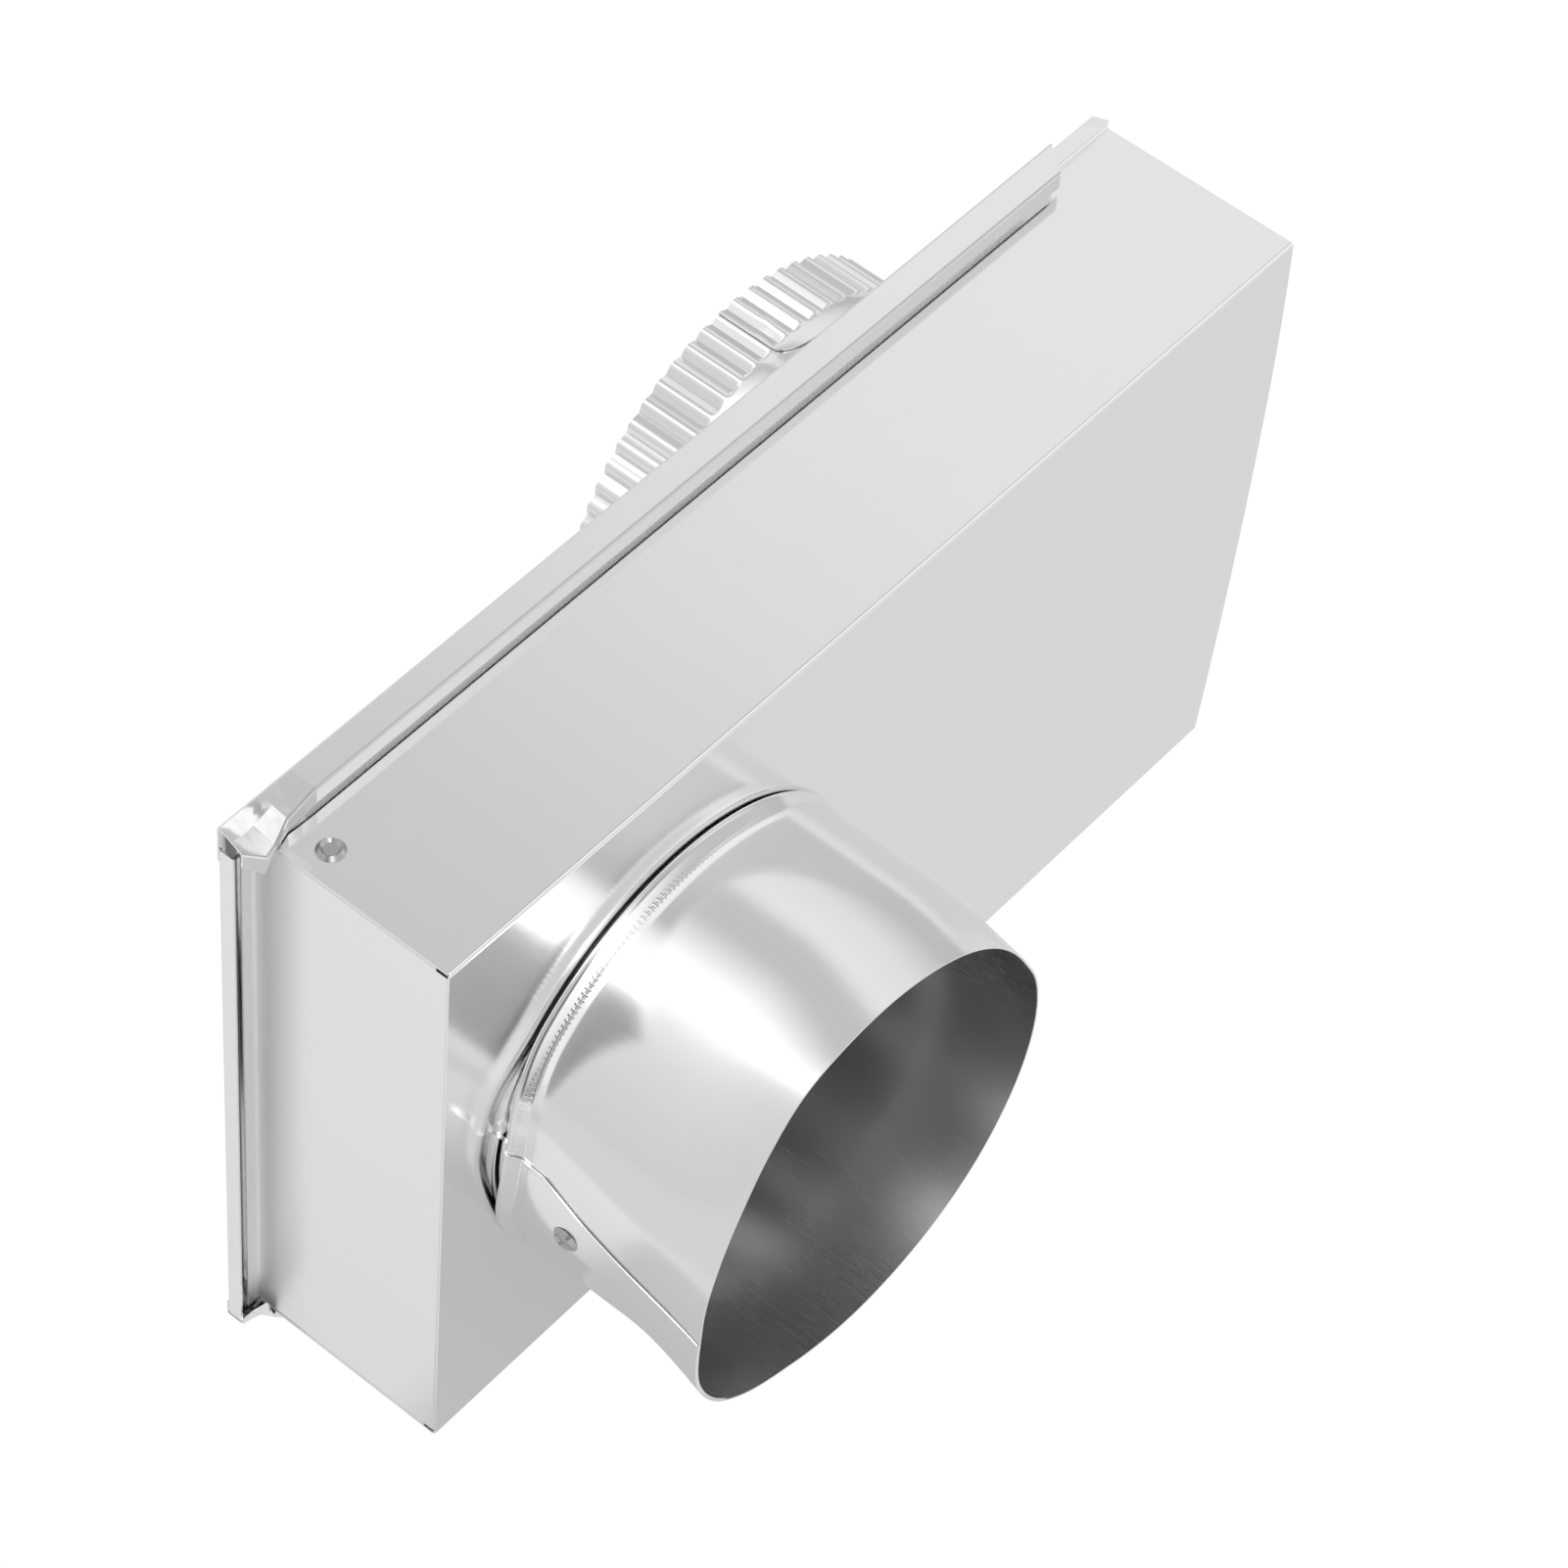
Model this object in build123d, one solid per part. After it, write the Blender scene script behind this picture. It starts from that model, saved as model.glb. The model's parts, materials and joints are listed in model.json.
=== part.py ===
"""Periscope dryer vent: two sheet-metal pans that slide on folded rails, each with a duct collar."""
from build123d import *
import math
import os

os.makedirs("parts", exist_ok=True)

# Millimetres. While a piece is drawn, x runs from the outside of the front pan's end wall, y from
# its front face towards the back, and z up and down from mid height.

# The sheet and its folds
sheet = 0.4
bend_radius = 0.9
seat = 0.03

# Front pan
pan_height = 152.4
pan_depth = 48.2
face_edge_top = 253.8
face_edge_bow = 255.6
face_edge_bottom = 251.5
bow_height = 27.8
lip_length = 4.7
lip_lean = 17.0
lip_overrun = 0.9
lip_corner = 1.0
lip_chamfer = 5.8
end_lip = 3.3
tab_length = 12.0
tab_gap = 0.1
corner_notch = 1.2

# Back pan: rails that grip the lips of the front pan, and a flap that closes its open end
overall_depth = 50.8
rail_rise = 5.6
rail_web = 7.1
rail_leg = 4.1
rail_bend = 0.6
rail_end = 237.5
rail_end_slant = 5.7
back_margin = 6.8
back_flange = 4.0
flap_gap = 0.4
flap_reach_gap = 1.6
crush_start = 12.0

# Collars
hole_radius = 51.0
front_collar_x = 65.0
back_collar_x = 184.5
collar_radius = 51.7
neck_radius = 50.7
back_neck_radius = 50.3
flange_radius = 57.0
inner_flange_radius = 54.0
groove_radius = 53.0
bead_radius = 55.2
bead_distance = 4.7
barrel_start = 9.1
front_collar_length = 52.4
round_length = 30.0
lap_step = 0.6
tuck_radius = 50.2
tuck_run = 14.0
notch_fade = 20.0
lap_start = 150.0
notch_end = 222.0
tongue_lap = 8.0
slant_start = 167.0
slant_end = 188.0

# Crimped end of the back collar
back_collar_radius = 51.0
crimp_radius = 50.4
shoulder = 1.0
back_collar_length = 36.2
crimp_length = 13.0
crimp_count = 64
crimp_depth = 1.5
crimp_run_in = 2.2
crimp_margin = 1.0
groove_share = 0.8
seam_angle = 97.0

# Rivets
rivet_head = 2.95
rivet_rise = 0.9
rivet_shank = 1.6
rivet_tail = 2.4
rivet_tail_length = 0.8
rivet_hollow_floor = 0.35
rivet_hollow_radius = 1.5
rivet_crown_radius = 2.1
pan_rivet_x = 6.6
pan_rivet_y = 35.1
collar_rivet_angle = 183.5
collar_rivet_distance = 19.0

half = pan_height / 2
rail_half = half + rail_rise
flap_x = back_collar_x + front_collar_x

# The mouth of the front collar is out of round: angle from +X towards +Z, then radius. The first
# angles belong to the layer that tucks under, the last ones to the layer that ends on top.
mouth_shape = [
    (150, 49.2), (167, 49.0), (188, 52.0), (203, 54.8), (216, 55.0), (230, 53.7), (248, 51.5),
    (275, 51.8), (310, 52.7), (340, 51.9), (372, 50.6), (386, 49.4), (403, 49.7), (435, 51.7),
    (462, 54.0), (478, 55.0), (490, 52.8), (506, 49.9), (527, 49.4), (548, 51.8),
]


def mirrored(shape):
    return shape.mirror(Plane.XY)


def sheet_loop(points, thickness):
    """The closed outline of a folded sheet: a line along one face, and the other face to its left."""
    inner = []
    for i, (x, y) in enumerate(points):
        normals = []
        for a, b in ((i - 1, i), (i, i + 1)):
            if a >= 0 and b < len(points):
                dx = points[b][0] - points[a][0]
                dy = points[b][1] - points[a][1]
                length = math.hypot(dx, dy)
                normals.append((-dy / length, dx / length))
        nx = sum(n[0] for n in normals)
        ny = sum(n[1] for n in normals)
        reach = thickness * len(normals) / (nx * nx + ny * ny)
        inner.append((x + nx * reach, y + ny * reach))
    return points + inner[::-1]


def folded(points, side):
    """A folded sheet's section: the line along its outer face, rounded at the bends."""
    line = FilletPolyline(*points, radius=bend_radius)
    return make_face(offset(line, sheet, side=side))


def right_edge():
    """Everything beyond the cut right edge of the front pan, seen from the front."""
    far = face_edge_bow + pan_depth
    rise = half + rail_rise
    low = half + lip_corner
    upper = (2 * (face_edge_bow - face_edge_top), bow_height - half)
    lower = (2 * (face_edge_bottom - face_edge_bow), -half - bow_height)
    outline = [
        Line((far, rise), (face_edge_top + lip_overrun - lip_chamfer, rise)),
        Line((face_edge_top + lip_overrun - lip_chamfer, rise), (face_edge_top + lip_overrun, low)),
        Line((face_edge_top + lip_overrun, low), (face_edge_top, half)),
        Spline((face_edge_top, half), (face_edge_bow, bow_height), tangents=[upper, (0, -1)]),
        Spline((face_edge_bow, bow_height), (face_edge_bottom, -half), tangents=[(0, -1), lower]),
        Line((face_edge_bottom, -half), (face_edge_bottom + lip_overrun, -low)),
        Line((face_edge_bottom + lip_overrun, -low), (face_edge_bottom + lip_overrun - lip_chamfer, -rise)),
        Line((face_edge_bottom + lip_overrun - lip_chamfer, -rise), (far, -rise)),
        Line((far, -rise), (far, rise)),
    ]
    return extrude(Plane.XZ * make_face(outline), -2 * pan_depth)


def front_pan():
    lean = math.radians(lip_lean)
    tip = (pan_depth + lip_length * math.sin(lean), half + lip_length * math.cos(lean))
    wall = (pan_depth, half)
    corner = (0, half)
    turned = [(y, -z) for y, z in (corner, wall, tip)]
    channel = extrude(Plane.YZ * folded([tip, wall, corner] + turned, Side.LEFT), face_edge_bow + sheet)

    end_line = [(2 * end_lip, 0), (0, 0), (0, pan_depth), (-end_lip, pan_depth)]
    under = half - sheet - tab_gap
    end_wall = extrude(Plane.XY * folded(end_line, Side.RIGHT), under - bend_radius, both=True)
    tab_line = [(tab_length, under), (0, under), (0, -under), (tab_length, -under)]
    tab_plane = Plane.XZ.offset(end_lip - pan_depth)
    tabs = extrude(tab_plane * folded(tab_line, Side.LEFT), pan_depth - 2 * end_lip)

    pan = channel + end_wall + tabs
    pan -= right_edge()
    pan -= Pos(front_collar_x, 0, 0) * Rot(90, 0, 0) * Cylinder(hole_radius, 4 * sheet)
    for z in (half, -half):
        pan -= Pos(0, 0, z) * Box(corner_notch, corner_notch, corner_notch)
        pan -= Pos(pan_rivet_x, pan_rivet_y, z) * Cylinder(rivet_shank + seat, 6 * sheet)
    return pan


def rail_line(back_drop, web_drop, front_drop, reach, leg_bottom, leg_reach):
    """The outside of a rail at one place: back bend, web, front bend and leg, as (y, z)."""
    cut = rail_bend * (1 - math.sqrt(0.5))
    back = overall_depth
    front = overall_depth - rail_web - reach
    top = rail_half - back_drop
    web = rail_half - web_drop
    lip = rail_half - front_drop
    return [
        (back, half - rail_leg),
        (back, top - rail_bend),
        (back - cut, top - cut),
        (back - rail_bend, top),
        (back - rail_web / 2, web),
        (front + rail_bend, lip),
        (front + cut, lip - cut),
        (front, lip - rail_bend),
        (front + leg_reach, leg_bottom),
    ]


def rail(crushed_end):
    """A top rail. Its left end is crushed over the corner of the front pan, as a stop."""
    plain = rail_line(0, 0, 0, 0, rail_half - rail_leg, 0)
    sections = []
    for x, line in crushed_end + [(crush_start, plain), (rail_end, plain)]:
        outline = Polyline(*sheet_loop(line, sheet), close=True)
        sections.append(Plane.YZ.offset(x) * outline)
    wires = [Wire(section.edges()) for section in sections]
    profile = Solid.make_loft(wires, ruled=True)
    front = overall_depth - rail_web
    slant = Polyline(
        (rail_end, overall_depth + 1),
        (rail_end, overall_depth),
        (rail_end - rail_end_slant, front),
        (rail_end - rail_end_slant, front - 1),
        (rail_end + 1, front - 1),
        close=True,
    )
    return profile - extrude(Plane.XY * make_face(slant), 2 * rail_half)


def top_rail():
    """The upper rail, whose end is pushed down into a pocket in front of the pan's corner."""
    leg_bottom = rail_half - rail_leg
    return rail([
        (-back_margin, rail_line(0, 1.3, 2.6, -0.6, leg_bottom - 2.5, 0.2)),
        (-3.6, rail_line(0, 2.4, 3.6, 2.6, leg_bottom - 5.3, 0.9)),
        (-0.9, rail_line(0, 2.0, 2.8, 2.2, half + 0.5, 0.4)),
        (crush_start / 3, rail_line(0, 0.5, 1.2, 0.5, half + 0.5, 0.2)),
    ])


def bottom_rail():
    """The lower rail, whose end is folded up at a slant round the pan's corner."""
    return mirrored(rail([
        (-back_margin, rail_line(5.7, 5.7, 5.8, -2.4, half - 2.0, 0)),
        (-5.1, rail_line(4.2, 5.2, 7.0, -1.5, half - 3.8, 0)),
        (-1.8, rail_line(0.2, 2.9, 7.5, 0, half - 4.7, 0.4)),
        (-0.4, rail_line(0, 1.4, 3.7, 0, half + 0.5, 0.2)),
        (2.6, rail_line(0, 0.1, 0.3, 0, half + 0.5, 0)),
    ]))


def back_pan():
    inner_half = half - sheet - flap_gap
    bend_line = [
        (flap_x, flap_reach_gap),
        (flap_x, overall_depth),
        (-back_margin, overall_depth),
        (-back_margin, overall_depth - back_flange),
    ]
    plate = extrude(Plane.XY * folded(bend_line, Side.LEFT), inner_half, both=True)
    pan = plate + top_rail() + bottom_rail()
    hole = Pos(back_collar_x, overall_depth, 0) * Rot(90, 0, 0) * Cylinder(hole_radius, 4 * sheet)
    return pan - hole


def smooth_between(table, at):
    """A smooth curve through a table of (place, value) pairs."""
    last = len(table) - 1
    i = max(n for n in range(last) if table[n][0] <= at or n == 0)
    x0, y0 = table[i]
    x1, y1 = table[i + 1]

    def slope(n):
        low, high = max(n - 1, 0), min(n + 1, last)
        return (table[high][1] - table[low][1]) / (table[high][0] - table[low][0])

    span = x1 - x0
    t = (at - x0) / span
    rise = (2 * t ** 3 - 3 * t ** 2 + 1) * y0 + (3 * t ** 2 - 2 * t ** 3) * y1
    return rise + span * ((t ** 3 - 2 * t ** 2 + t) * slope(i) + (t ** 3 - t ** 2) * slope(i + 1))


def ease(at, start, end):
    """0 before start, 1 beyond end, and a smooth change between them."""
    t = min(max((at - start) / (end - start), 0), 1)
    return t * t * (3 - 2 * t)


def around(points):
    """Points given as (radius, angle), from +X towards +Z, as (x, z)."""
    return [(r * math.cos(math.radians(a)), r * math.sin(math.radians(a))) for r, a in points]


def at_distance(distance):
    """The plane across a collar's axis at a distance from the plate, towards -Y."""
    return Plane((0, -distance, 0), x_dir=(1, 0, 0), z_dir=(0, -1, 0))


def collar_path(radius, neck, end):
    """One face of a collar's sheet as (radius, distance from the plate). It lies behind the plate,
    passes through the hole, folds back on itself as a flat ring, then runs out over a round bead."""
    ring = 2 * sheet + 5 * seat
    bead = bead_distance
    swell = bead_radius - groove_radius
    return [
        (inner_flange_radius, -sheet - seat),
        (neck, -sheet - seat),
        (neck, seat),
        (flange_radius, seat),
        (flange_radius, ring),
        (flange_radius - 1.4, ring + 0.2),
        (groove_radius + 0.2, bead - 2.9),
        (groove_radius, bead - 1.7),
        (groove_radius + 0.7 * swell, bead - 0.9),
        (bead_radius, bead),
        (groove_radius + 0.7 * swell, bead + 0.9),
        (groove_radius - 0.3, bead + 2.4),
        (radius, bead + 3.4),
        (radius, end),
    ]


def turned(outline, start, end):
    """A collar outline of (radius, distance) pairs, turned about the collar's axis between angles."""
    face = make_face(Polyline(*[(r, -s) for r, s in outline], close=True))
    axis = Axis((0, 0, 0), (0, -1, 0))
    return revolve(face, axis, revolution_arc=end - start).rotate(axis, start)


def barrel_radius(angle, distance):
    """The outside of the front collar's barrel. The layer that tucks under starts at lap_start."""
    sprung = ease(distance, round_length, 2 * front_collar_length - round_length)
    radius = collar_radius + 2 * sprung * (smooth_between(mouth_shape, angle) - collar_radius)
    tuck = lap_step + (collar_radius - tuck_radius - lap_step) * (1 - ease(distance, barrel_start, tuck_run))
    return radius - tuck * (1 - ease(angle, notch_end - notch_fade, notch_end))


def barrel_section(distance):
    """The barrel's sheet cut across at one distance, from its tucked end to its slanted end."""
    slant = (distance - barrel_start) / (front_collar_length - barrel_start)
    end = 360 + slant_start + slant * (slant_end - slant_start)
    stops = [lap_start, notch_end - notch_fade, notch_end, 360, end]
    faces = []
    for depth in (0, sheet):
        edges = []
        for a, b in zip(stops, stops[1:]):
            fading = b == notch_end
            count = 2 if distance == barrel_start and not fading else math.ceil((b - a) / 7)
            angles = [a + (b - a) * i / count for i in range(count + 1)]
            points = around([(barrel_radius(angle, distance) - depth, angle) for angle in angles])
            edges.append(ThreePointArc(*points) if count == 2 else Spline(*points))
        faces.append(edges)
    outer, inner = faces
    ends = [Line(outer[-1] @ 1, inner[-1] @ 1), Line(inner[0] @ 0, outer[0] @ 0)]
    return Wire([at_distance(distance) * e for e in outer + ends + inner])


def front_collar():
    path = collar_path(collar_radius, neck_radius, barrel_start)
    base = turned(sheet_loop(path, sheet), notch_end, 360 + slant_start)
    inside = tuck_radius - sheet
    behind = -3 * sheet
    tongue_outline = [
        (tuck_radius, behind),
        (tuck_radius, barrel_start),
        (inside, barrel_start),
        (inside, behind),
    ]
    tongue = turned(tongue_outline, lap_start, notch_end + tongue_lap)
    places = [barrel_start, 11.5, tuck_run, 18, 22, 26, round_length, 34, 39, 44, 48, front_collar_length]
    barrel = Solid.make_loft([barrel_section(d) for d in places])
    collar = base + tongue + barrel
    collar -= on_collar(Cylinder(rivet_shank + seat, 8 * sheet))
    return Pos(front_collar_x, 0, 0) * collar


def on_collar(shape):
    """Moves a shape from the origin to the rivet's place on the collar's tucked layer."""
    radius = barrel_radius(collar_rivet_angle, collar_rivet_distance)
    seated = Rot(0, 90, 0) * shape
    return Rot(0, -collar_rivet_angle, 0) * (Pos(radius, -collar_rivet_distance, 0) * seated)


def groove(depth_in):
    """One pressed groove of the crimp, on the +X side: a V that deepens over crimp_run_in. The
    grooves of the sheet's inner face lie depth_in further in than those of its outer face."""
    half_width = groove_share * math.pi * crimp_radius / crimp_count
    half_angle = math.atan2(half_width, crimp_depth)
    apex = crimp_radius - crimp_depth - depth_in / math.sin(half_angle)
    brim = crimp_radius + 1
    reach = (brim - apex) * math.tan(half_angle)
    start = back_collar_length - crimp_length - crimp_run_in
    profile = make_face(Polyline((apex, 0), (brim, reach), (brim, -reach), close=True))
    run = back_collar_length + 1 - start
    prism = extrude(at_distance(start) * profile, run)
    surface = crimp_radius - depth_in
    ramp = Polyline(
        (apex - 1, -start + 1),
        (surface + 2, -start + 1),
        (surface, -start),
        (apex, -start - crimp_run_in),
        (apex - 1, -start - crimp_run_in),
        close=True,
    )
    return prism - extrude(make_face(ramp), 2 * reach, both=True)


def crimped_body(depth_in):
    """The crimped end filled in, as far as one face of its sheet, with the grooves pressed in."""
    start = back_collar_length - crimp_length - crimp_run_in - crimp_margin
    axis = Axis((0, 0, 0), (0, -1, 0))
    disc = extrude(at_distance(start) * Circle(crimp_radius - depth_in), back_collar_length - start)
    cutter = groove(depth_in)
    turns = [seam_angle + (i + 0.5) * 360 / crimp_count for i in range(crimp_count)]
    return disc - [cutter.rotate(axis, turn) for turn in turns]


def back_collar():
    """The crimping draws the collar in a little, so a short shoulder leads from its plain wall."""
    start = back_collar_length - crimp_length - crimp_run_in - crimp_margin
    plain = collar_path(back_collar_radius, back_neck_radius, start - 2 * shoulder)
    drawn_in = [(crimp_radius, start - shoulder), (crimp_radius, start)]
    base = turned(sheet_loop(plain + drawn_in, sheet), 0, 360)
    collar = base + (crimped_body(0) - crimped_body(sheet))
    return Pos(back_collar_x, overall_depth, 0) * collar.mirror(Plane.XZ)


def rivet(grip):
    """A tubular rivet, set through the origin along Z: a rolled head with a hollow, and its tail."""
    outline = [
        (0, rivet_hollow_floor),
        (rivet_hollow_radius, rivet_hollow_floor),
        (rivet_crown_radius, rivet_rise),
        (rivet_head, seat),
        (rivet_shank, seat),
        (rivet_shank, -grip - seat),
        (rivet_tail, -grip - seat),
        (0.8 * rivet_tail, -grip - rivet_tail_length),
        (0, -grip - rivet_tail_length),
    ]
    return revolve(Plane.XZ * make_face(Polyline(*outline, close=True)), Axis.Z)


def pan_rivet():
    return Pos(pan_rivet_x, pan_rivet_y, half) * rivet(2 * sheet + tab_gap)


def collar_rivet():
    return Pos(front_collar_x, 0, 0) * on_collar(rivet(sheet + tab_gap))


# The origin is below the middle of the vent's box, on the floor that its lower rail stands on
origin = Pos(
    (back_margin - face_edge_bow) / 2,
    (front_collar_length - overall_depth - back_collar_length) / 2,
    rail_half,
)

nodes = {
    "front_pan": front_pan(),
    "front_pan_rivet_top": pan_rivet(),
    "front_pan_rivet_bottom": mirrored(pan_rivet()),
    "front_collar": front_collar(),
    "front_collar_rivet": collar_rivet(),
    "back_pan": back_pan(),
    "back_collar": back_collar(),
}

for name, shape in nodes.items():
    export_step(origin * shape, "parts/" + name + ".step")
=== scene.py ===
"""A periscope dryer vent in bright sheet aluminium, on a white floor under soft studio light."""
import json
import math

import bpy
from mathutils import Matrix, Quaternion, Vector


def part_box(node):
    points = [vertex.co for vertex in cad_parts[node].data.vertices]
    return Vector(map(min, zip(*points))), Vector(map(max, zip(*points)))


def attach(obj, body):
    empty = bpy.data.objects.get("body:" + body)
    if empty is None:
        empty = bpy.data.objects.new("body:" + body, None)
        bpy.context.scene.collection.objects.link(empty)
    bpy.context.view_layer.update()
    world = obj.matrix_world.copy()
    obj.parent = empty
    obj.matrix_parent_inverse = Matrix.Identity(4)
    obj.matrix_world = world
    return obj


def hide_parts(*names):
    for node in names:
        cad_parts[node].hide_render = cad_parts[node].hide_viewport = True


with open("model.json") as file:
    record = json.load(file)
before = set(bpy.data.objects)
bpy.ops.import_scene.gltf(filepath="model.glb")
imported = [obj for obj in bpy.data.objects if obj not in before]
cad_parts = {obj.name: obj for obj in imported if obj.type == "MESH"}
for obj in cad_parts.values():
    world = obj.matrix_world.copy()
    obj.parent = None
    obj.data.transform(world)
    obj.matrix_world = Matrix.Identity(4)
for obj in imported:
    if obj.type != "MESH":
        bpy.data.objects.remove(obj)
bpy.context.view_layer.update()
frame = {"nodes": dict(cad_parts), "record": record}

# Everything is in metres, except that collar sizes are in millimetres: distances from their plates,
# with angles in degrees from +X towards +Z. The vent stands on its lower rail, on a floor at z = 0.
mm = 0.001
sheet = 0.4 * mm
x_axis, y_axis = 0, 1

# Camera
camera_place = Vector((-0.5778, -0.4090, 0.9505))
camera_aim = Vector((-0.0057, -0.0014, 0.0924))
camera_roll = 5.95
camera_lens = 127.2
camera_sensor = 36
camera_clip_start = 0.05

# Lamp
lamp_place = Vector((-0.9, -1.2, 1.7))
lamp_aim = Vector((0, 0, 0.08))
lamp_size = 0.8
lamp_power = 4

# Metals
bright_aluminium = (0.90, 0.905, 0.91, 1)
inner_aluminium = (0.82, 0.825, 0.83, 1)
rivet_aluminium = (0.50, 0.50, 0.49, 1)
sheet_rough = 0.14
sheet_dents = 0.3
inside_rough = 0.26
inside_dents = 0.06
rivet_rough = 0.3
rivet_dents = 0.3

# Their textures: the scales of noise are per metre, and heights are shares of a bump's depth
grain_along = 40
grain_across = 1500
grain_rough = 0.05
grain_height = 0.2
cloud_scale = 22.0
cloud_rough = 0.08
mark_height = 12
crease_scale = 170.0
speck_scale = 1200.0
speck_rough = 0.2
sheet_bump_depth = 0.00001
rivet_bump_depth = 0.00002

# Fine marks that the roller of a collar's bead leaves, in a band where the bead runs into the wall
tick_count = 270
tick_span = (0.1, 0.8)
tick_band = ((3.4, 3.8), (4.5, 4.9))
worn_scale = 60.0
worn_span = (0.38, 0.6)

# Where the front pan's left wall dulls towards its lip
lip_wall_x = (-0.1225, -0.1232)
lip_fade_y = (0.0140, 0.0270)
lip_rough = 0.42

# Where the back pan's rail corners are crushed
corner_x = -0.1160
corner_top = 0.1500
corner_bottom = 0.0140
corner_fade_x = 3 * mm
corner_fade_z = 2 * mm
corner_rough = 0.02
corner_crumple = 60.0

# Front collar: one sheet rolled so that its ends lap. Its first edge lies outside, along a seam that
# turns as it runs to the mouth; the sheet's other end dips under it. Near the seam it stands off its
# plate.
collar_radius = 51.7
collar_length = 52.3
barrel_rows = 36
round_length = 30.0
seam_start = 169.0
seam_lean = 18.0
lean_width = 60.0
lap_width = 35.0
lap_depth = 0.44
dip_width = 15.0
flat_step = 0.6
flat_fade = (202.0, 222.0)
stand_off = 2.3
stand_off_rise = (138.0, 168.0)
stand_off_fall = (176.0, 200.0)
stand_off_run = (9.0, 25.0)
edge_turn_up = 0.06
edge_turn_width = 0.9
edge_turn_run = (0.3, 2.0)
front_path = [
    (54.0, -0.45), (50.4, -0.45), (50.4, 0.2), (52.3, 0.35), (52.9, 0.9), (52.7, 1.8),
    (51.5, 4.2), (51.7, 6.0), (51.7, 9.1),
]
mouth_shape = [
    (167, 49.0), (188, 52.0), (203, 54.8), (216, 55.0), (230, 53.8), (248, 51.8), (275, 52.2),
    (310, 53.3), (340, 52.4), (372, 50.8), (386, 49.5), (403, 49.7), (435, 51.7), (462, 54.0),
    (478, 55.0), (490, 52.8), (506, 49.9), (527, 49.4), (548, 52.0),
]

# Back collar: its sheet laps too, with a rounded corner on the outer layer, and its end is crimped.
# lap_step is in sheets.
back_radius = 51.0
back_length = 36.2
crimp_start = 21.2
crimp_run_in = 1.2
crimp_count = 64
crimp_depth = 1.3
crimp_share = 0.8
crimp_draw = 0.3
crimp_draw_run = (crimp_start - 2, crimp_start + 1)
columns_per_crimp = 8
back_seam = 97.0
back_under = 17.0
lap_step = 1.4
lap_fade = 6.0
lap_corner = 17.0
lap_corner_size = 4.5
lap_corner_columns = 60
lap_setback = 11.0
clinch_marks = [(91.0, 27.1), (95.0, 25.7)]
clinch_rise = 0.35
clinch_size = 0.9
back_path = [
    (54.0, -0.45), (50.3, -0.45), (50.3, 0.25), (51.6, 0.4), (52.05, 0.9), (51.85, 1.9),
    (50.85, 4.3), (51.0, 6.0), (51.0, 9.1),
]
back_rows = [
    10.5, 12, 13.5, 15, 16, 16.5, 17, 17.5, 18, 18.5, 19, 19.5, 20, 20.5, 21, 21.4, 21.8, 22.2,
    22.6, 23.0, 23.8, 24.8, 26, 27.2, 28.4, 29.6, 30.8, 32, 33.2, 34.4, 35.4, back_length,
]

# Floor: a shadow catcher for the camera, and for the metal a glowing surface to mirror, whose level
# is
# painted light: painted reflections change it to the left, far to the left and in front, and a
# painted shadow darkens it under the vent. Each span runs from no change to the whole change.
floor_size = 12
floor_drop = 0.2 * mm
floor_colour = (0.8, 0.8, 0.8, 1)
camera_level = 1.02
camera_share = 0.97
metal_level = 0.8
metal_share = 0.8
left_span = (-0.05, -0.25)
left_gain = 0.11
far_span = (-0.26, -0.34)
far_loss = 0.14
front_span = (-0.15, -0.40)
front_gain = 0.2
# A painted shadow under the vent: the floor's glow for the metal drops there.
painted_shadow_x = ((0.02, -0.05), (-0.24, -0.30))
painted_shadow_y = ((0.0, -0.02), (-0.055, -0.085))
painted_shadow_loss = 0.24

# Studio: the brightness that the metal mirrors round the Y axis, from -X below through +X and the
# ceiling back to -X, as (degrees from +X towards +Z, level). The floor hides what lies below the
# horizon, all but a sliver. studio_front is what stands before the vent, and there the levels of two
# more zones, given by how far a ray leans towards -Y, light the bead's slope and the faces seen
# straight on.
studio_round = [
    (-180, 0.64), (-90, 0.72), (-45, 0.72), (-18, 0.58), (-2, 0.50), (12, 0.54), (30, 0.80),
    (48, 0.87), (54, 0.84), (59, 0.61), (64, 0.58), (76, 0.58), (90, 0.95), (98, 1.20),
    (114, 1.20), (124, 0.90), (138, 0.78), (160, 0.71), (180, 0.68),
]
studio_front = [
    (-180, 0.16), (0, 0.60), (60, 0.55), (88, 0.34), (98, 1.20), (112, 1.20), (122, 0.24),
    (160, 0.14), (180, 0.16),
]
studio_top = 1.25
studio_ambient = 0.55
front_lean = (-0.05, -0.20)
slope_lean = (-0.38, -0.45)
slope_level = 1.1
ahead_lean = (-0.62, -0.82)
ahead_level = 0.72


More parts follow.
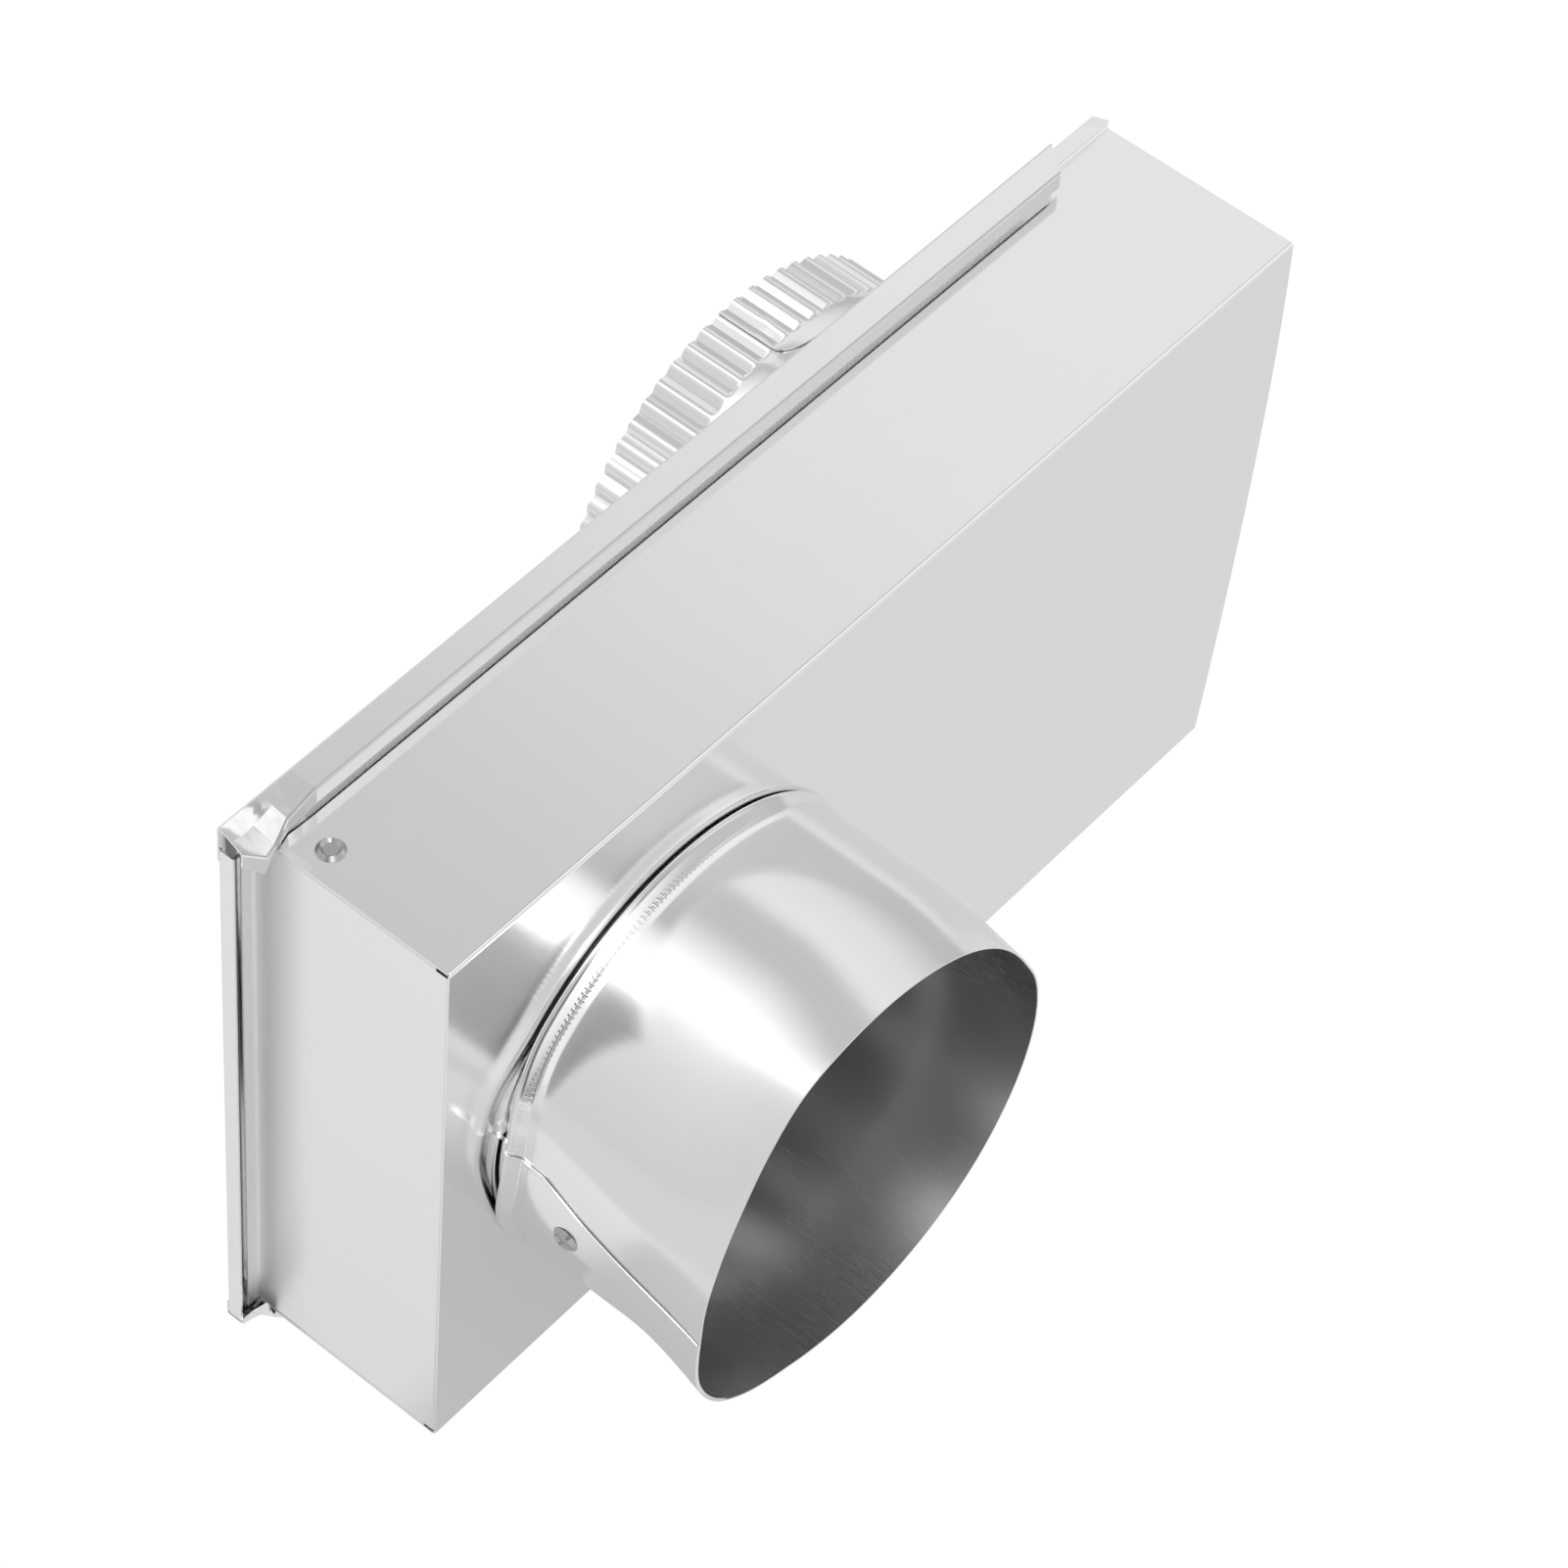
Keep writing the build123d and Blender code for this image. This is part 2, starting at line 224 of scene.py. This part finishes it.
class Nodes:
    """Builds a material's or the world's node tree."""

    def __init__(self, owner):
        owner.use_nodes = True
        self.tree = owner.node_tree
        self.tree.nodes.clear()

    def add(self, kind, settings=None, **inputs):
        """A node. An input is named with _ for each space, or i0, i1 and so on by its number."""
        node = self.tree.nodes.new(kind)
        for key, value in (settings or {}).items():
            setattr(node, key, value)
        for key, value in inputs.items():
            numbered = key[0] == "i" and key[1:].isdigit()
            self.feed(node.inputs[int(key[1:]) if numbered else key.replace("_", " ")], value)
        return node

    def feed(self, socket, value):
        if isinstance(value, Value):
            value = value.socket
        if isinstance(value, bpy.types.NodeSocket):
            self.tree.links.new(value, socket)
        else:
            socket.default_value = value

    def object_place(self):
        return self.add("ShaderNodeTexCoord").outputs["Object"]

    def parts(self, place):
        """The X, Y and Z of a place or a direction."""
        node = self.add("ShaderNodeSeparateXYZ", Vector=place)
        return [Value(self, output) for output in node.outputs]

    def rays(self):
        """1 for the camera's rays, and 1 for rays that metal sends on."""
        node = self.add("ShaderNodeLightPath")
        return [Value(self, node.outputs[name]) for name in ("Is Camera Ray", "Is Glossy Ray")]

    def noise(self, place, scale, detail=2.0):
        node = self.add("ShaderNodeTexNoise", Vector=place, Scale=scale, Detail=detail)
        return Value(self, node.outputs["Fac"])

    def level_round(self, turn, table):
        """The level that a table of (degrees, level) has at a turn in radians."""
        node = self.add("ShaderNodeValToRGB", Fac=turn * (0.5 / math.pi) + 0.5)
        elements = node.color_ramp.elements
        while len(elements) < len(table):
            elements.new(0.5)
        for element, (degrees, level) in zip(elements, table):
            shade = level / studio_top
            element.position = (degrees + 180) / 360
            element.color = (shade, shade, shade, 1)
        return Value(self, node.outputs["Color"]) * studio_top

    def metal(self, colour, rough, height, depth, dents):
        """Ends the tree with bare metal."""
        bump = self.add("ShaderNodeBump", Height=height, Distance=depth, Strength=dents)
        shader = self.add("ShaderNodeBsdfPrincipled", Base_Color=colour, Metallic=1.0,
                          Roughness=rough, Normal=bump.outputs[0])
        self.add("ShaderNodeOutputMaterial", Surface=shader.outputs[0])


class Value:
    """A number in a node tree, used in plain arithmetic."""

    def __init__(self, nodes, socket):
        self.nodes = nodes
        self.socket = socket

    def math(self, operation, *others):
        node = self.nodes.add("ShaderNodeMath", {"operation": operation})
        for slot, other in zip(node.inputs, (self, *others)):
            self.nodes.feed(slot, other)
        return Value(self.nodes, node.outputs[0])

    def __add__(self, other):
        return self.math("ADD", other)

    __radd__ = __add__

    def __mul__(self, other):
        return self.math("MULTIPLY", other)

    __rmul__ = __mul__

    def __sub__(self, other):
        return self.math("SUBTRACT", other)

    def __rsub__(self, other):
        return (self * -1) + other

    def between(self, low, high):
        """0 up to low, 1 from high on."""
        node = self.nodes.add("ShaderNodeMapRange", {"interpolation_type": "SMOOTHSTEP"})
        for slot, other in zip(node.inputs, (self, low, high, 0.0, 1.0)):
            self.nodes.feed(slot, other)
        return Value(self.nodes, node.outputs[0])

    def inside(self, rise, fall):
        """0 up to the rise, 1 between the rise and the fall, and 0 past the fall."""
        return self.between(*rise) * (1 - self.between(*fall))


def blend(first, second, share):
    """First where share is 0, second where it is 1."""
    return first + (second - first) * share


def ease(at, start, end):
    """0 before start, 1 beyond end, and a smooth change between them."""
    t = min(max((at - start) / (end - start), 0), 1)
    return t * t * (3 - 2 * t)


def smooth_between(table, at):
    """A smooth curve through a table of (place, value) pairs."""
    last = len(table) - 1
    i = max(n for n in range(last) if table[n][0] <= at or n == 0)
    x0, y0 = table[i]
    x1, y1 = table[i + 1]

    def slope(n):
        low, high = max(n - 1, 0), min(n + 1, last)
        return (table[high][1] - table[low][1]) / (table[high][0] - table[low][0])

    span = x1 - x0
    t = (at - x0) / span
    rise = (2 * t ** 3 - 3 * t ** 2 + 1) * y0 + (3 * t ** 2 - 2 * t ** 3) * y1
    return rise + span * ((t ** 3 - 2 * t ** 2 + t) * slope(i) + (t ** 3 - t ** 2) * slope(i + 1))


def rounded(path, cut, steps):
    """A path with each corner replaced by a short curve that starts at most cut before it."""
    points = [path[0]]
    for before, corner, after in zip(path, path[1:], path[2:]):
        corner = Vector(corner)
        arm_in = Vector(before) - corner
        arm_out = Vector(after) - corner
        start = corner + arm_in.normalized() * min(cut, arm_in.length * 0.45)
        end = corner + arm_out.normalized() * min(cut, arm_out.length * 0.45)
        for i in range(steps + 1):
            t = i / steps
            points.append(start * (1 - t) ** 2 + corner * 2 * t * (1 - t) + end * t ** 2)
    return [tuple(point) for point in points] + [path[-1]]


def paint(piece, *materials):
    piece.data.materials.clear()
    for material in materials:
        piece.data.materials.append(material)


def rolled_sheet(name, columns, rows, place):
    """A flat strip of sheet, rolled up: place gives the point of each column and row."""
    bpy.ops.object.select_all(action="DESELECT")
    bpy.ops.mesh.primitive_grid_add(x_subdivisions=columns, y_subdivisions=rows, size=1)
    strip = bpy.context.object
    strip.name = name
    for vertex in strip.data.vertices:
        column = round((vertex.co.x + 0.5) * columns)
        row = round((vertex.co.y + 0.5) * rows)
        vertex.co = place(column, row)
    return strip


def give_thickness(piece, inward, strip_finish, added_finish):
    """Gives a rolled strip its thickness, with one finish for the strip's own side and one for the
    side that the thickness adds."""
    paint(piece, strip_finish, added_finish)
    thick = piece.modifiers.new("thickness", "SOLIDIFY")
    thick.thickness = sheet
    thick.offset = -1 if inward else 1
    thick.use_even_offset = True
    thick.material_offset = 1
    bpy.ops.object.modifier_apply(modifier=thick.name)
    bpy.ops.object.shade_smooth_by_angle(angle=math.radians(35))


def point_round(centre, radius, angle, distance, side):
    """A point of a collar, in metres. Side is -1 for the front collar, which runs along -Y."""
    turn = math.radians(angle)
    x = centre.x + radius * mm * math.cos(turn)
    z = centre.z + radius * mm * math.sin(turn)
    return Vector((x, centre.y + side * distance * mm, z))


def front_collar(centre, outside, inside):
    """The front collar, rolled from one strip: round near the plate, sprung out at its mouth."""
    base = rounded(front_path, 0.4, 4)
    base_end = base[-1][1]
    row_height = (collar_length - base_end) / barrel_rows
    barrel = [(collar_radius, base_end + row_height * i) for i in range(1, barrel_rows + 1)]
    profile = base + barrel

    # The columns, in degrees from the outer edge: finer at both edges and where the lap dips
    fine = [i / 4 for i in range(8)]
    turns = fine + list(range(2, 340)) + [340 + i / 2 for i in range(40)] + [360 + i for i in fine]
    turns += [362 + i for i in range(round(lap_width) - 1)]

    def place(column, row):
        radius, distance = profile[row]
        turn = turns[column]
        slant = max(0, (distance - base_end) / (collar_length - base_end))
        lean = 1 - ease(turn, 0, lean_width) + ease(turn, 360 - lean_width, 360)
        angle = seam_start + turn + slant * lean * seam_lean
        once = angle - 360 if angle > mouth_shape[-1][0] else angle
        sprung = ease(distance, round_length, 2 * collar_length - round_length)
        radius += 2 * sprung * (smooth_between(mouth_shape, once) - collar_radius)
        if turn < 360 - dip_width:
            radius -= flat_step * (1 - ease(angle, *flat_fade))
        else:
            radius -= (flat_step + lap_depth) * ease(turn, 360 - dip_width, 360)
            radius += flat_step * ease(angle - 360, *flat_fade)
        if distance > 0:
            to_edge = math.radians(turn) * collar_radius
            turned_up = (1 - ease(to_edge, 0, edge_turn_width)) * ease(distance, *edge_turn_run)
            radius += edge_turn_up * turned_up
            near = angle - 360 if angle > 360 else angle
            off = ease(near, *stand_off_rise) * (1 - ease(near, *stand_off_fall))
            distance += stand_off * off * (1 - ease(distance, *stand_off_run))
        return point_round(centre, radius, angle, distance, -1)

    collar = rolled_sheet("front_collar_sheet", len(turns) - 1, len(profile) - 1, place)
    give_thickness(collar, True, outside, inside)
    return collar


def back_wall_radius(angle, distance):
    """The outside of the back collar past its bead, with its crimps and clinch marks."""
    pleat = ((angle - back_seam) * crimp_count / 360) % 1
    rise = min(1, abs(2 * pleat - 1) / crimp_share)
    groove = crimp_depth * (1 - rise)
    radius = back_radius - groove * ease(distance, crimp_start, crimp_start + crimp_run_in)
    radius -= crimp_draw * ease(distance, *crimp_draw_run)
    for mark_angle, mark_distance in clinch_marks:
        gap_round = math.radians(angle - 360 - mark_angle) * back_radius
        gap = math.hypot(gap_round, distance - mark_distance)
        radius += clinch_rise * math.exp(-(gap / clinch_size) ** 2)
    return radius


def back_collar(centre, outside, inside):
    """The crimped collar, rolled from one strip. Its outer layer has a rounded corner."""
    base = rounded(back_path, 0.45, 4)
    distances = [distance for _, distance in base] + back_rows
    step = 360 / crimp_count / columns_per_crimp
    start = back_seam - back_under
    columns = round((360 + back_under) / step)

    def place(column, row):
        distance = distances[row]
        angle = start + column * step
        past_corner = min(max((distance - lap_corner) / lap_corner_size, 0), 1)
        setback = lap_setback * (1 - math.sqrt(1 - (1 - past_corner) ** 2))
        angle -= setback * ease(column, columns - lap_corner_columns, columns)
        radius = base[row][0] if row < len(base) else back_wall_radius(angle, distance)
        under = 1 - ease(angle, back_seam, back_seam + lap_fade)
        radius -= lap_step * sheet / mm * under
        return point_round(centre, radius, angle, distance, 1)

    collar = rolled_sheet("back_collar_sheet", columns, len(distances) - 1, place)
    give_thickness(collar, False, inside, outside)
    return collar


def sheet_material(name, grain_axis, rough=sheet_rough, colour=bright_aluminium,
                   dents=sheet_dents, marks=None, area=None):
    """Bright rolled sheet: fine grain along one axis, faint clouds, and any marks pressed in it.
    An area is a function that gives 1 inside it, how much rougher it is, and how crumpled."""
    material = bpy.data.materials.new(name)
    nodes = Nodes(material)
    place = nodes.object_place()
    stretch = [grain_across] * 3
    stretch[grain_axis] = grain_along
    grain_place = nodes.add("ShaderNodeMapping", Vector=place, Scale=stretch).outputs[0]
    grain = nodes.noise(grain_place, 1.0, 3.0)
    cloud = nodes.noise(place, cloud_scale, 4.0)
    rough = rough + (grain - 0.5) * grain_rough + (cloud - 0.5) * cloud_rough
    height = grain * grain_height
    if marks:
        height = height + marks(nodes, place) * mark_height
    if area:
        where, extra_rough, crumple = area
        there = where(*nodes.parts(place))
        rough = rough + there * extra_rough
        height = height + there * nodes.noise(place, crease_scale) * crumple
    nodes.metal(colour, rough, height, sheet_bump_depth, dents)
    return material


def beside_lip(x, y, z):
    return x.between(*lip_wall_x) * y.between(*lip_fade_y)


def on_crushed_corners(x, y, z):
    above = z.between(corner_top, corner_top + corner_fade_z)
    below = z.between(corner_bottom, corner_bottom - corner_fade_z)
    return x.between(corner_x, corner_x - corner_fade_x) * (above + below)


def roller_marks(centre, side):
    """The marks of the bead's roller, as a height for a collar's outside."""
    start, end = [(low * mm, high * mm) for low, high in tick_band]

    def height(nodes, place):
        x, y, z = nodes.parts(place)
        turn = (z - centre.z).math("ARCTAN2", x - centre.x)
        ticks = (turn * tick_count).math("SINE").between(*tick_span)
        band = ((y - centre.y) * side).inside(start, end)
        return ticks * band * nodes.noise(place, worn_scale).between(*worn_span)

    return height


def rivet_material(name):
    material = bpy.data.materials.new(name)
    nodes = Nodes(material)
    speck = nodes.noise(nodes.object_place(), speck_scale, 3.0)
    rough = rivet_rough + (speck - 0.5) * speck_rough
    nodes.metal(rivet_aluminium, rough, speck, rivet_bump_depth, rivet_dents)
    return material


def add_camera():
    data = bpy.data.cameras.new("camera")
    data.lens = camera_lens
    data.sensor_width = camera_sensor
    data.clip_start = camera_clip_start
    camera = bpy.data.objects.new("camera", data)
    bpy.context.scene.collection.objects.link(camera)
    look = (camera_aim - camera_place).to_track_quat("-Z", "Y")
    camera.rotation_mode = "QUATERNION"
    camera.rotation_quaternion = look @ Quaternion((0, 0, 1), math.radians(camera_roll))
    camera.location = camera_place
    bpy.context.scene.camera = camera


def add_floor():
    bpy.ops.object.select_all(action="DESELECT")
    bpy.ops.mesh.primitive_plane_add(size=floor_size, location=(0, 0, 0))
    floor = bpy.context.object
    floor.name = "floor"
    bpy.ops.object.mode_set(mode="EDIT")
    bpy.ops.mesh.select_all(action="SELECT")
    bpy.ops.transform.translate(value=(0, 0, -floor_drop))
    bpy.ops.object.mode_set(mode="OBJECT")
    material = bpy.data.materials.new("floor_white")
    nodes = Nodes(material)
    camera, glossy = nodes.rays()
    x, y, _ = nodes.parts(nodes.object_place())
    # The floor's glow for the metal is painted light: painted reflections, brighter to the left and
    # in front and darker far to the left.
    level = x.between(*left_span) * left_gain - x.between(*far_span) * far_loss
    level = level + y.between(*front_span) * front_gain + metal_level
    # Painted shadow under the vent, taken off the glow that the metal mirrors.
    level = level - x.inside(*painted_shadow_x) * y.inside(*painted_shadow_y) * painted_shadow_loss
    glow = nodes.add("ShaderNodeEmission", Color=(1, 1, 1, 1),
                     Strength=camera * camera_level + glossy * level)
    diffuse = nodes.add("ShaderNodeBsdfDiffuse", Color=floor_colour)
    share = camera * camera_share + glossy * metal_share
    mix = nodes.add("ShaderNodeMixShader", i0=share, i1=diffuse.outputs[0], i2=glow.outputs[0])
    nodes.add("ShaderNodeOutputMaterial", Surface=mix.outputs[0])
    paint(floor, material)


def add_world():
    world = bpy.data.worlds.new("studio")
    bpy.context.scene.world = world
    nodes = Nodes(world)
    camera, glossy = nodes.rays()
    x, y, z = nodes.parts(nodes.add("ShaderNodeTexCoord").outputs["Generated"])
    turn = z.math("ARCTAN2", x)
    front = nodes.level_round(turn, studio_front)
    level = blend(nodes.level_round(turn, studio_round), front, y.between(*front_lean))
    level = blend(level, slope_level, y.between(*slope_lean))
    level = blend(level, ahead_level, y.between(*ahead_lean))
    level = blend(blend(studio_ambient, level, glossy), 1, camera)
    background = nodes.add("ShaderNodeBackground", Color=(1, 1, 1, 1), Strength=level)
    nodes.add("ShaderNodeOutputWorld", Surface=background.outputs[0])


def add_lamp():
    data = bpy.data.lights.new("key", "AREA")
    data.shape = "SQUARE"
    data.size = lamp_size
    data.energy = lamp_power
    lamp = bpy.data.objects.new("key", data)
    bpy.context.scene.collection.objects.link(lamp)
    lamp.location = lamp_place
    lamp.rotation_mode = "QUATERNION"
    lamp.rotation_quaternion = (lamp_aim - lamp_place).to_track_quat("-Z", "Y")


bpy.context.scene.view_settings.view_transform = "Standard"
add_camera()
add_floor()
add_world()
add_lamp()

axes = {mount["name"]: mount["pos_m"] for mount in frame["record"]["mounts"]}
front_centre = Vector((axes["front_collar"][0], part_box("front_pan")[0].y, axes["front_collar"][2]))
back_centre = Vector((axes["back_collar"][0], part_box("back_pan")[1].y, axes["back_collar"][2]))

for collar, node, body, centre, side in (
    (front_collar, "front_collar", "front", front_centre, -1),
    (back_collar, "back_collar", "back", back_centre, 1),
):
    outside = sheet_material(node + "_metal", y_axis, marks=roller_marks(centre, side))
    inside = sheet_material(node + "_inside", y_axis, inside_rough, inner_aluminium, inside_dents)
    piece = collar(centre, outside, inside)
    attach(piece, body)
    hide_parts(node)

lip = (beside_lip, lip_rough, 0.0)
corners = (on_crushed_corners, corner_rough, corner_crumple)
paint(frame["nodes"]["front_pan"], sheet_material("front_pan_metal", x_axis, area=lip))
paint(frame["nodes"]["back_pan"], sheet_material("back_pan_metal", x_axis, area=corners))
rivet_metal = rivet_material("rivet_metal")
for node in ("front_pan_rivet_top", "front_pan_rivet_bottom", "front_collar_rivet"):
    paint(frame["nodes"][node], rivet_metal)
